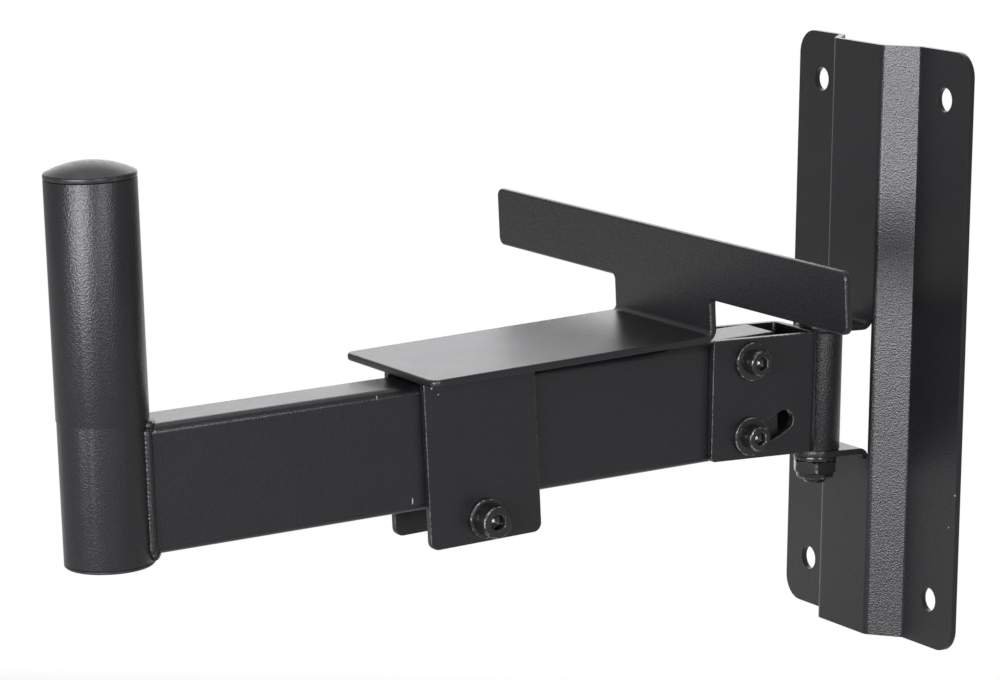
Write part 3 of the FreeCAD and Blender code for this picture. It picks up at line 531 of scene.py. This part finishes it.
SLOT_OF = {row["node"]: row["material_slot"] for row in frame["record"]["subparts"]}
for name, slot in SLOT_OF.items():
    finish_piece(name, slot)
print(len(SLOT_OF), "pieces finished")

# %% [markdown]
# ## Shaping turned and hexagonal pieces
# Screws, nuts, washers and caps are turned or rolled, so each is a stack of rings about one axis.
# A ring is a list of points, and neighbouring rings are joined by a band of faces.
# A hexagon is a ring too, whose radius changes with the angle, and where a cone cuts its
# corners the ring's height changes with the radius. That gives the curved edges of a real nut.

# %%
STEPS = 144
CONE_FROM = 0.475
CONE_ANGLE = math.radians(30)
ANGLES = [math.tau * step / STEPS for step in range(STEPS)]


def ring(radius, height):
    """One ring about Z; radius and height, in millimetres, are numbers or functions of the angle."""
    points = []
    for angle in ANGLES:
        r = radius(angle) if callable(radius) else radius
        z = height(angle) if callable(height) else height
        points.append((r * math.cos(angle), r * math.sin(angle), z))
    return points


def hexagon(flats, blunt=0.975):
    """The radius of a hexagon at an angle, with its corners slightly blunted; one corner is on X."""
    corner = flats / math.sqrt(3)

    def radius(angle):
        turn = angle % math.radians(60) - math.radians(30)
        return min(flats / 2 / math.cos(turn), corner * blunt)

    return radius


def coned(flats, level, rise):
    """The height at which a cone cuts a hexagon's sides: above a level for rise 1, below for -1."""
    outline = hexagon(flats)

    def height(angle):
        return level + rise * max(0.0, outline(angle) - flats * CONE_FROM) * math.tan(CONE_ANGLE)

    return height


def at_corner(angle):
    """True on the blunted corners of a hexagon."""
    return abs((angle + math.radians(30)) % math.radians(60) - math.radians(30)) < math.radians(2.6)


def shell(rings, closed=False, rims=(), corners=()):
    """A solid from rings: closed joins the last ring to the first, and otherwise both ends are filled.

    The bands whose numbers are in rims are rubbed bare, and those in corners only at a hexagon's corners.
    """
    mesh = bmesh.new()
    rows = [[mesh.verts.new(point) for point in points] for points in rings]
    pairs = list(zip(rows, rows[1:]))
    if closed:
        pairs.append((rows[-1], rows[0]))
    for band, (lower, upper) in enumerate(pairs):
        count = len(lower)
        for step in range(count):
            following = (step + 1) % count
            face = mesh.faces.new((lower[step], lower[following], upper[following], upper[step]))
            middle = math.tau * (step + 0.5) / count
            face.material_index = int(band in rims or (band in corners and at_corner(middle)))
    if not closed:
        for row in (rows[0], rows[-1]):
            middle = mesh.verts.new(sum((vert.co for vert in row), Vector()) / len(row))
            for step in range(len(row)):
                mesh.faces.new((row[step], row[(step + 1) % len(row)], middle))
    bmesh.ops.recalc_face_normals(mesh, faces=mesh.faces)
    return mesh


def body_of(node):
    return next(name for name, members in frame["record"]["behaviour"]["bodies"].items() if node in members)


def add_piece(name, meshes, slot, place, stands_for):
    """Joins shells into one smooth-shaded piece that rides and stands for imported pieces."""
    whole = bmesh.new()
    for part in meshes:
        scrap = bpy.data.meshes.new("scrap")
        part.to_mesh(scrap)
        part.free()
        whole.from_mesh(scrap)
        bpy.data.meshes.remove(scrap)
    whole.transform(place @ Matrix.Scale(MM, 4))
    data = bpy.data.meshes.new(name)
    whole.to_mesh(data)
    whole.free()
    data.polygons.foreach_set("use_smooth", [True] * len(data.polygons))
    data.set_sharp_from_angle(angle=math.radians(32))
    data.materials.append(FINISHES[slot])
    if slot == "black_fastener":
        data.materials.append(RUBBED_STEEL)
    piece = bpy.data.objects.new(name, data)
    scene.collection.objects.link(piece)
    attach(piece, body_of(stands_for[0]))
    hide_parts(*stands_for)
    return piece


print("rings have", STEPS, "points")

# %% [markdown]
# ## Where the small pieces sit
# A cross screw lies along X, with its head on the right. Its middle and the faces that its
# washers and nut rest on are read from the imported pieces, so nothing is placed by eye.
# The arm leans down by 2.9 degrees and the stop by 3.8, and their hexagons lean with them.

# %%
ARM_LEAN = math.radians(2.9)
STOP_LEAN = math.radians(3.8)
TO_RIGHT = Matrix.Rotation(math.radians(90), 4, "Y")
TO_LEFT = Matrix.Rotation(math.radians(-90), 4, "Y")


def middle_of(node):
    low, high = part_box(node)
    return (low + high) / 2


def at_face(node, side, lean, turn):
    """A frame on the +X (side 1) or -X (side -1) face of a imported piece, its own Z pointing away."""
    low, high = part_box(node)
    spot = middle_of(node)
    spot.x = high.x if side > 0 else low.x
    return Matrix.Translation(spot) @ Matrix.Rotation(lean, 4, "X") @ turn


for node in ("tilt_washer_near", "lock_washer_near", "clamp_washer_near"):
    print(node, "is centred at", [round(x * 1000, 2) for x in middle_of(node)])

# %% [markdown]
# ## Washers
# A stamped washer has one edge rounded by the punch and one left a little sharp.
# Its black skin is worn at the rim, which the photograph shows as a bright ring.
# It sits a hair off the sheet under it, so the faces of two moving pieces never coincide.

# %%
SEAT = 0.03


def washer(node, radius, hole, thickness, slot, place):
    rings = [
        ring(hole, 0.15), ring(hole + 0.15, SEAT), ring(radius - 0.35, SEAT), ring(radius - 0.1, 0.1),
        ring(radius, 0.35), ring(radius, thickness - 0.45), ring(radius - 0.12, thickness - 0.16),
        ring(radius - 0.45, thickness), ring(hole + 0.3, thickness), ring(hole, thickness - 0.3),
    ]
    return add_piece(node + "_turned", [shell(rings, closed=True, rims=(5, 6))], slot, place, [node])


WASHER_RADIUS = 8.0
WASHER_SHEET = 1.8
for prefix, hole, lean in (("tilt", 3.25, 0), ("lock", 3.25, ARM_LEAN), ("clamp", 4.25, STOP_LEAN)):
    near, far = prefix + "_washer_near", prefix + "_washer_far"
    washer(near, WASHER_RADIUS, hole, WASHER_SHEET, "black_fastener", at_face(near, -1, lean, TO_RIGHT))
    washer(far, WASHER_RADIUS, hole, WASHER_SHEET, "black_fastener", at_face(far, 1, lean, TO_LEFT))
print("six cross washers")

# %% [markdown]
# ## Socket head screws
# The head is turned with a rounded rim, and its socket is a broached hexagon that ends in the
# cone of the drill. The last turns of thread that stand out of the nut are cut as a real helix:
# the radius of each ring follows a triangle wave that climbs with the angle.
# The middle of the drilled cone is bare steel, and it gives the one bright point in each socket.

# %%
RIM_RADIUS = 0.85
THREAD_SHOWN = 11
BOLT_THREAD_SHOWN = 16


def thread(radius, pitch, start, end, per_turn=8):
    """Rings of a screw thread between two heights."""
    depth = 0.54 * pitch
    count = max(2, round((end - start) / pitch * per_turn))
    rings = []
    for number in range(count + 1):
        height = start + (end - start) * number / count

        def outline(angle, height=height):
            turn = (height / pitch - angle / math.tau) % 1.0
            return radius - depth * min(1.0, max(0.0, 1.35 * abs(2 * turn - 1) - 0.15))

        rings.append(ring(outline, height))
    return rings


def socket_screw(node, shank, pitch, head, tall, socket, deep, length, place):
    """A socket head cap screw whose head rests on Z = 0 and whose shank runs down from it."""
    round_off = head - RIM_RADIUS
    broach = hexagon(socket, blunt=1.0)
    mouth = hexagon(socket + 0.5, blunt=0.98)
    rings = [ring(0.01, tall - deep - 0.95), ring(1.0, tall - deep - 0.57), ring(broach, tall - deep),
             ring(broach, tall - 0.25), ring(mouth, tall), ring(round_off, tall)]
    for turn in (22, 45, 68):
        across, along = math.sin(math.radians(turn)), math.cos(math.radians(turn))
        rings.append(ring(round_off + RIM_RADIUS * across, tall - RIM_RADIUS + RIM_RADIUS * along))
    rings += [ring(head, tall - RIM_RADIUS), ring(head, 0.4), ring(head - 0.12, 0.12),
              ring(head - 0.4, 0), ring(shank + 0.3, 0), ring(shank, -0.3)]
    rings += reversed(thread(shank, pitch, -length + 0.6, -length + THREAD_SHOWN))
    rings += [ring(shank - 0.55 * pitch, -length + 0.1), ring(shank - 0.7 * pitch, -length)]
    screw = add_piece(node + "_turned", [shell(rings, rims=(3, 6, 7))], "black_fastener", place, [node])
    screw.data.materials.append(DRILLED_STEEL)
    for face in screw.data.polygons[:STEPS]:
        face.material_index = 2


YOKE_SCREW = dict(shank=3.0, pitch=1.0, head=5.1, tall=6.2, socket=5.0, deep=3.2, length=45)
CLAMP_SCREW = dict(shank=4.0, pitch=1.25, head=6.5, tall=8.0, socket=6.0, deep=4.5, length=45)
socket_screw("tilt_screw", place=at_face("tilt_washer_near", 1, 0, TO_RIGHT), **YOKE_SCREW)
socket_screw("lock_screw", place=at_face("lock_washer_near", 1, ARM_LEAN, TO_RIGHT), **YOKE_SCREW)
socket_screw("clamp_screw", place=at_face("clamp_washer_near", 1, STOP_LEAN, TO_RIGHT), **CLAMP_SCREW)
print("three socket screws")

# %% [markdown]
# ## Lock nuts
# A lock nut is a hexagon with a turned collar, rolled over a ring of tough plastic.
# Both ends of the hexagon are coned, so its flats end in shallow curves.

# %%
def lock_nut(node, flats, tall, bore, place):
    """A lock nut whose flat face is at Z = 0, and the plastic ring in its collar."""
    outline = hexagon(flats)
    six = tall - 2.4
    collar = flats / 2 - 0.7
    lip = bore + 0.75
    rings = [
        ring(bore, 0.6), ring(bore + 0.5, 0), ring(flats * CONE_FROM, 0),
        ring(outline, coned(flats, 0, 1)), ring(outline, coned(flats, six, -1)),
        ring(flats * CONE_FROM, six), ring(collar + 0.1, six), ring(collar, six + 0.25),
        ring(collar, tall - 1.1), ring(collar - 0.25, tall - 0.45), ring(collar - 0.8, tall - 0.08),
        ring(collar - 1.3, tall), ring(lip + 0.15, tall), ring(lip, tall - 0.2),
        ring(lip, tall - 1.6), ring(bore, tall - 1.6),
    ]
    nut = shell(rings, closed=True, rims=(8, 9), corners=(2, 3, 4))
    add_piece(node + "_turned", [nut], "black_fastener", place, [node])
    rings = [
        ring(bore + 0.02, tall - 1.55), ring(lip - 0.02, tall - 1.55), ring(lip - 0.02, tall - 0.3),
        ring(lip - 0.15, tall - 0.1), ring(bore + 0.2, tall - 0.1), ring(bore + 0.02, tall - 0.35),
    ]
    add_piece(node + "_ring_turned", [shell(rings, closed=True)], "black_plastic", place, [node + "_ring"])


for prefix, flats, tall, bore, lean in (
    ("tilt", 10, 6, 3.02, 0), ("lock", 10, 6, 3.02, ARM_LEAN), ("clamp", 13, 8, 4.02, STOP_LEAN),
):
    lock_nut(prefix + "_nut", flats, tall, bore, at_face(prefix + "_washer_far", -1, lean, TO_LEFT))
print("three lock nuts with their rings")

# %% [markdown]
# ## The hinge bolt
# A hexagon bolt hangs through both ears and the barrel, with a washer and a lock nut below.
# The nut and the point of the thread under it can be seen below the lower ear.

# %%
BOLT = dict(shank=5.0, pitch=1.5, flats=17.0, tall=6.4)
NUT_TALL = 8.0
hinge = middle_of("pivot_bolt")
bolt_low, bolt_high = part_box("pivot_bolt")
washer_low, washer_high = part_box("pivot_washer")
DOWN = Matrix.Rotation(math.radians(180), 4, "X") @ Matrix.Rotation(math.radians(90), 4, "Z")
bolt_top = Matrix.Translation((hinge.x, hinge.y, bolt_high.z - BOLT["tall"] * MM))
under_ear = Matrix.Translation((hinge.x, hinge.y, washer_high.z)) @ DOWN
under_washer = Matrix.Translation((hinge.x, hinge.y, washer_low.z)) @ DOWN


def hexagon_bolt(length, shank, pitch, flats, tall):
    """A hexagon bolt whose head rests on Z = 0 and whose shank runs down from it."""
    six = hexagon(flats)
    rings = [ring(flats * 0.42, tall), ring(flats * CONE_FROM, tall),
             ring(six, coned(flats, tall, -1)), ring(six, 0.25),
             ring(flats * CONE_FROM, 0), ring(shank + 0.4, 0), ring(shank, -0.4)]
    rings += reversed(thread(shank, pitch, -length + 1.0, -length + BOLT_THREAD_SHOWN))
    rings += [ring(shank - 0.5 * pitch, -length + 0.2), ring(shank - 0.65 * pitch, -length)]
    quarter = Matrix.Rotation(math.radians(90), 4, "Z")
    bolt = shell(rings, corners=(1, 2))
    add_piece("pivot_bolt_turned", [bolt], "black_fastener", bolt_top @ quarter, ["pivot_bolt"])


hexagon_bolt((bolt_high.z - bolt_low.z) / MM - BOLT["tall"], **BOLT)
washer("pivot_washer", 9.0, 5.25, 2.0, "black_fastener", under_ear)
lock_nut("pivot_nut", BOLT["flats"], NUT_TALL, 5.02, under_washer)
print("hinge bolt from", round(bolt_low.z / MM, 1), "to", round(bolt_high.z / MM, 1), "mm")

# %% [markdown]
# ## Weld beads
# A hand-laid bead is a row of small overlapping ripples under the powder coat.
# A round section is swept along the joint, and its radius swells and falls with every ripple,
# which leans back at the middle of the bead as the pool of metal did when it set.

# %%
def bead(path, radius, ripple=0.07, pitch=1.7, sides=20):
    """A rippled bead along a path of points, in millimetres, tapered at both ends."""
    points = [Vector(point) for point in path]
    lengths = [0.0]
    for here, there in zip(points, points[1:]):
        lengths.append(lengths[-1] + (there - here).length)
    total = lengths[-1]
    count = max(8, round(total / 0.3))
    rings = []
    for number in range(count + 1):
        along = total * number / count
        span = next(i for i in range(len(points) - 1) if along <= lengths[i + 1] + 1e-9)
        share = (along - lengths[span]) / (lengths[span + 1] - lengths[span])
        middle = points[span].lerp(points[span + 1], share)
        ahead = (points[span + 1] - points[span]).normalized()
        side = ahead.orthogonal().normalized()
        other = ahead.cross(side)
        end = min(along, total - along) / (radius * 0.8)
        taper = math.sqrt(max(0.02, 1 - (1 - min(1.0, end)) ** 2))
        points_round = []
        for step in range(sides):
            angle = math.tau * step / sides
            phase = (along + 0.35 * radius * abs(math.cos(angle))) / pitch % 1.0
            swell = 1 - ripple * (1 - math.sin(math.pi * phase))
            outward = side * math.cos(angle) + other * math.sin(angle)
            points_round.append(middle + outward * radius * taper * swell)
        rings.append(points_round)
    return shell(rings)


low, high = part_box("barrel_welds")
BARREL_RADIUS = 10
BARREL_BEAD_X = 6.2
BARREL_BEAD_Y = hinge.y / MM - BARREL_RADIUS + 1.15
beads = []
for side in (-1, 1):
    ends = [(side * BARREL_BEAD_X, BARREL_BEAD_Y, end / MM) for end in (low.z, high.z)]
    beads.append(bead(ends, radius=2.3))
add_piece("barrel_weld_beads", beads, "powder_coat", Matrix.Identity(4), ["barrel_welds"])
print("barrel welds", round((high.z - low.z) / MM, 1), "mm long")

# %% [markdown]
# The arm ends in a saddle cut that fits round the pole, so its bead has four parts: two straight
# ones up the arm's sides and two arcs over and under it. The coat has filled most of its ripple.
# They are laid out in the arm's own frame, which starts at the tilt screw and leans with the arm.

# %%
POLE_REACH = 280.4
ARM_SINK = 15.5
ARM_HALF_WIDTH = 12.5
ARM_HALF_HEIGHT = 25
POLE_FOOT = 17.25
SEAM = math.sqrt(POLE_FOOT ** 2 - ARM_HALF_WIDTH ** 2)
SEAM_END = ARM_HALF_HEIGHT - 0.5
ARC_STEPS = 12
FILLED_RIPPLE = 0.03

tilt = middle_of("tilt_washer_near")
tilt.x = 0
arm_frame = Matrix.Translation(tilt) @ Matrix.Rotation(ARM_LEAN, 4, "X")
pole_frame = arm_frame @ Matrix.Translation(Vector((0, -POLE_REACH, -ARM_SINK)) * MM)
sweep = math.asin(ARM_HALF_WIDTH / POLE_FOOT)
beads = []
for side in (-1, 1):
    straight = [(side * ARM_HALF_WIDTH, SEAM, end) for end in (-SEAM_END, SEAM_END)]
    arc = []
    for step in range(-ARC_STEPS, ARC_STEPS + 1):
        angle = sweep * step / ARC_STEPS
        arc.append((POLE_FOOT * math.sin(angle), POLE_FOOT * math.cos(angle), side * ARM_HALF_HEIGHT))
    beads.append(bead(straight, radius=2.1, ripple=FILLED_RIPPLE))
    beads.append(bead(arc, radius=2.15, ripple=FILLED_RIPPLE))
add_piece("pole_weld_bead", beads, "powder_coat", pole_frame, ["pole_weld"])
print("pole weld of", len(beads), "beads")

# %% [markdown]
# ## The pole's plastic ends
# The cap is a shallow dome with a rounded shoulder over a short rim, and a fine dark gap
# parts it from the pole. The plug below is a flat disc with a broken edge.
# Both are pushed in, and their stems are inside the pole.

# %%
POLE_RADIUS = 17.5
POLE_RISE = 93.6
POLE_DROP = 2.1
BORE_RADIUS = 15.4
CAP_RIM = 1.5
CAP_SHOULDER = 0.9
CAP_RISE = 6.4
STEM = 12.0
STEM_WALL = 1.8
SHOULDER_TURN = math.radians(72)
SHOULDER_STEPS = 10
DOME_STEPS = 15


def dome(radius, foot, top, shoulder):
    """Rings from a rim, over a rounded shoulder, to the middle of a shallow dome."""
    rings = []
    for step in range(SHOULDER_STEPS + 1):
        turn = SHOULDER_TURN * step / SHOULDER_STEPS
        rings.append(ring(radius - shoulder + shoulder * math.cos(turn), foot + shoulder * math.sin(turn)))
    edge = radius - shoulder + shoulder * math.cos(SHOULDER_TURN)
    start = foot + shoulder * math.sin(SHOULDER_TURN)
    for step in range(1, DOME_STEPS):
        share = step / DOME_STEPS
        rings.append(ring(edge * (1 - share), start + (top - start) * (1 - (1 - share) ** 2)))
    return rings


stem = [ring(BORE_RADIUS - STEM_WALL, -STEM), ring(BORE_RADIUS, -STEM), ring(BORE_RADIUS, 0.0)]
cap_frame = pole_frame @ Matrix.Translation((0, 0, (ARM_HALF_HEIGHT + POLE_RISE) * MM))
cap = [*stem,
       ring(POLE_RADIUS - 0.7, 0.15), ring(POLE_RADIUS - 0.15, 0.3), ring(POLE_RADIUS, 0.6)]
cap += dome(POLE_RADIUS, CAP_RIM, CAP_RISE, CAP_SHOULDER)
add_piece("pole_cap_moulded", [shell(cap)], "black_plastic", cap_frame, ["pole_cap"])
plug_frame = pole_frame @ Matrix.Translation((0, 0, -(ARM_HALF_HEIGHT + POLE_DROP) * MM))
plug_frame = plug_frame @ Matrix.Rotation(math.pi, 4, "X")
plug = [*stem,
        ring(POLE_FOOT - 0.3, 0.05), ring(POLE_FOOT, 0.3), ring(POLE_FOOT, 0.8), ring(POLE_FOOT - 0.6, 1.4),
        ring(POLE_FOOT - 2.5, 1.4), ring(POLE_FOOT - 3.0, 1.1), ring(2.0, 1.1)]
add_piece("pole_plug_moulded", [shell(plug)], "black_plastic", plug_frame, ["pole_plug"])
print("cap and plug on a pole of", POLE_RADIUS, "mm radius")

# %% [markdown]
# ## The saddle's welds
# Two beads run along the stop, in the corners between the saddle's bends and the plate over it.
# The stop leans a little more than the arm, because its saddle has a millimetre of play.

# %%
STOP_REACH = 126.8
SADDLE_BEAD_X = 14.4
SADDLE_BEAD_Z = 27.4
SADDLE_BEAD_END = 19

stop_frame = arm_frame @ Matrix.Translation(Vector((0, -STOP_REACH, -ARM_SINK)) * MM)
stop_frame = stop_frame @ Matrix.Rotation(STOP_LEAN - ARM_LEAN, 4, "X")
beads = []
for side in (-1, 1):
    ends = [(side * SADDLE_BEAD_X, end, SADDLE_BEAD_Z) for end in (-SADDLE_BEAD_END, SADDLE_BEAD_END)]
    beads.append(bead(ends, radius=2.35))
add_piece("saddle_weld_beads", beads, "powder_coat", stop_frame, ["saddle_welds"])
print("saddle welds of", len(beads), "beads")
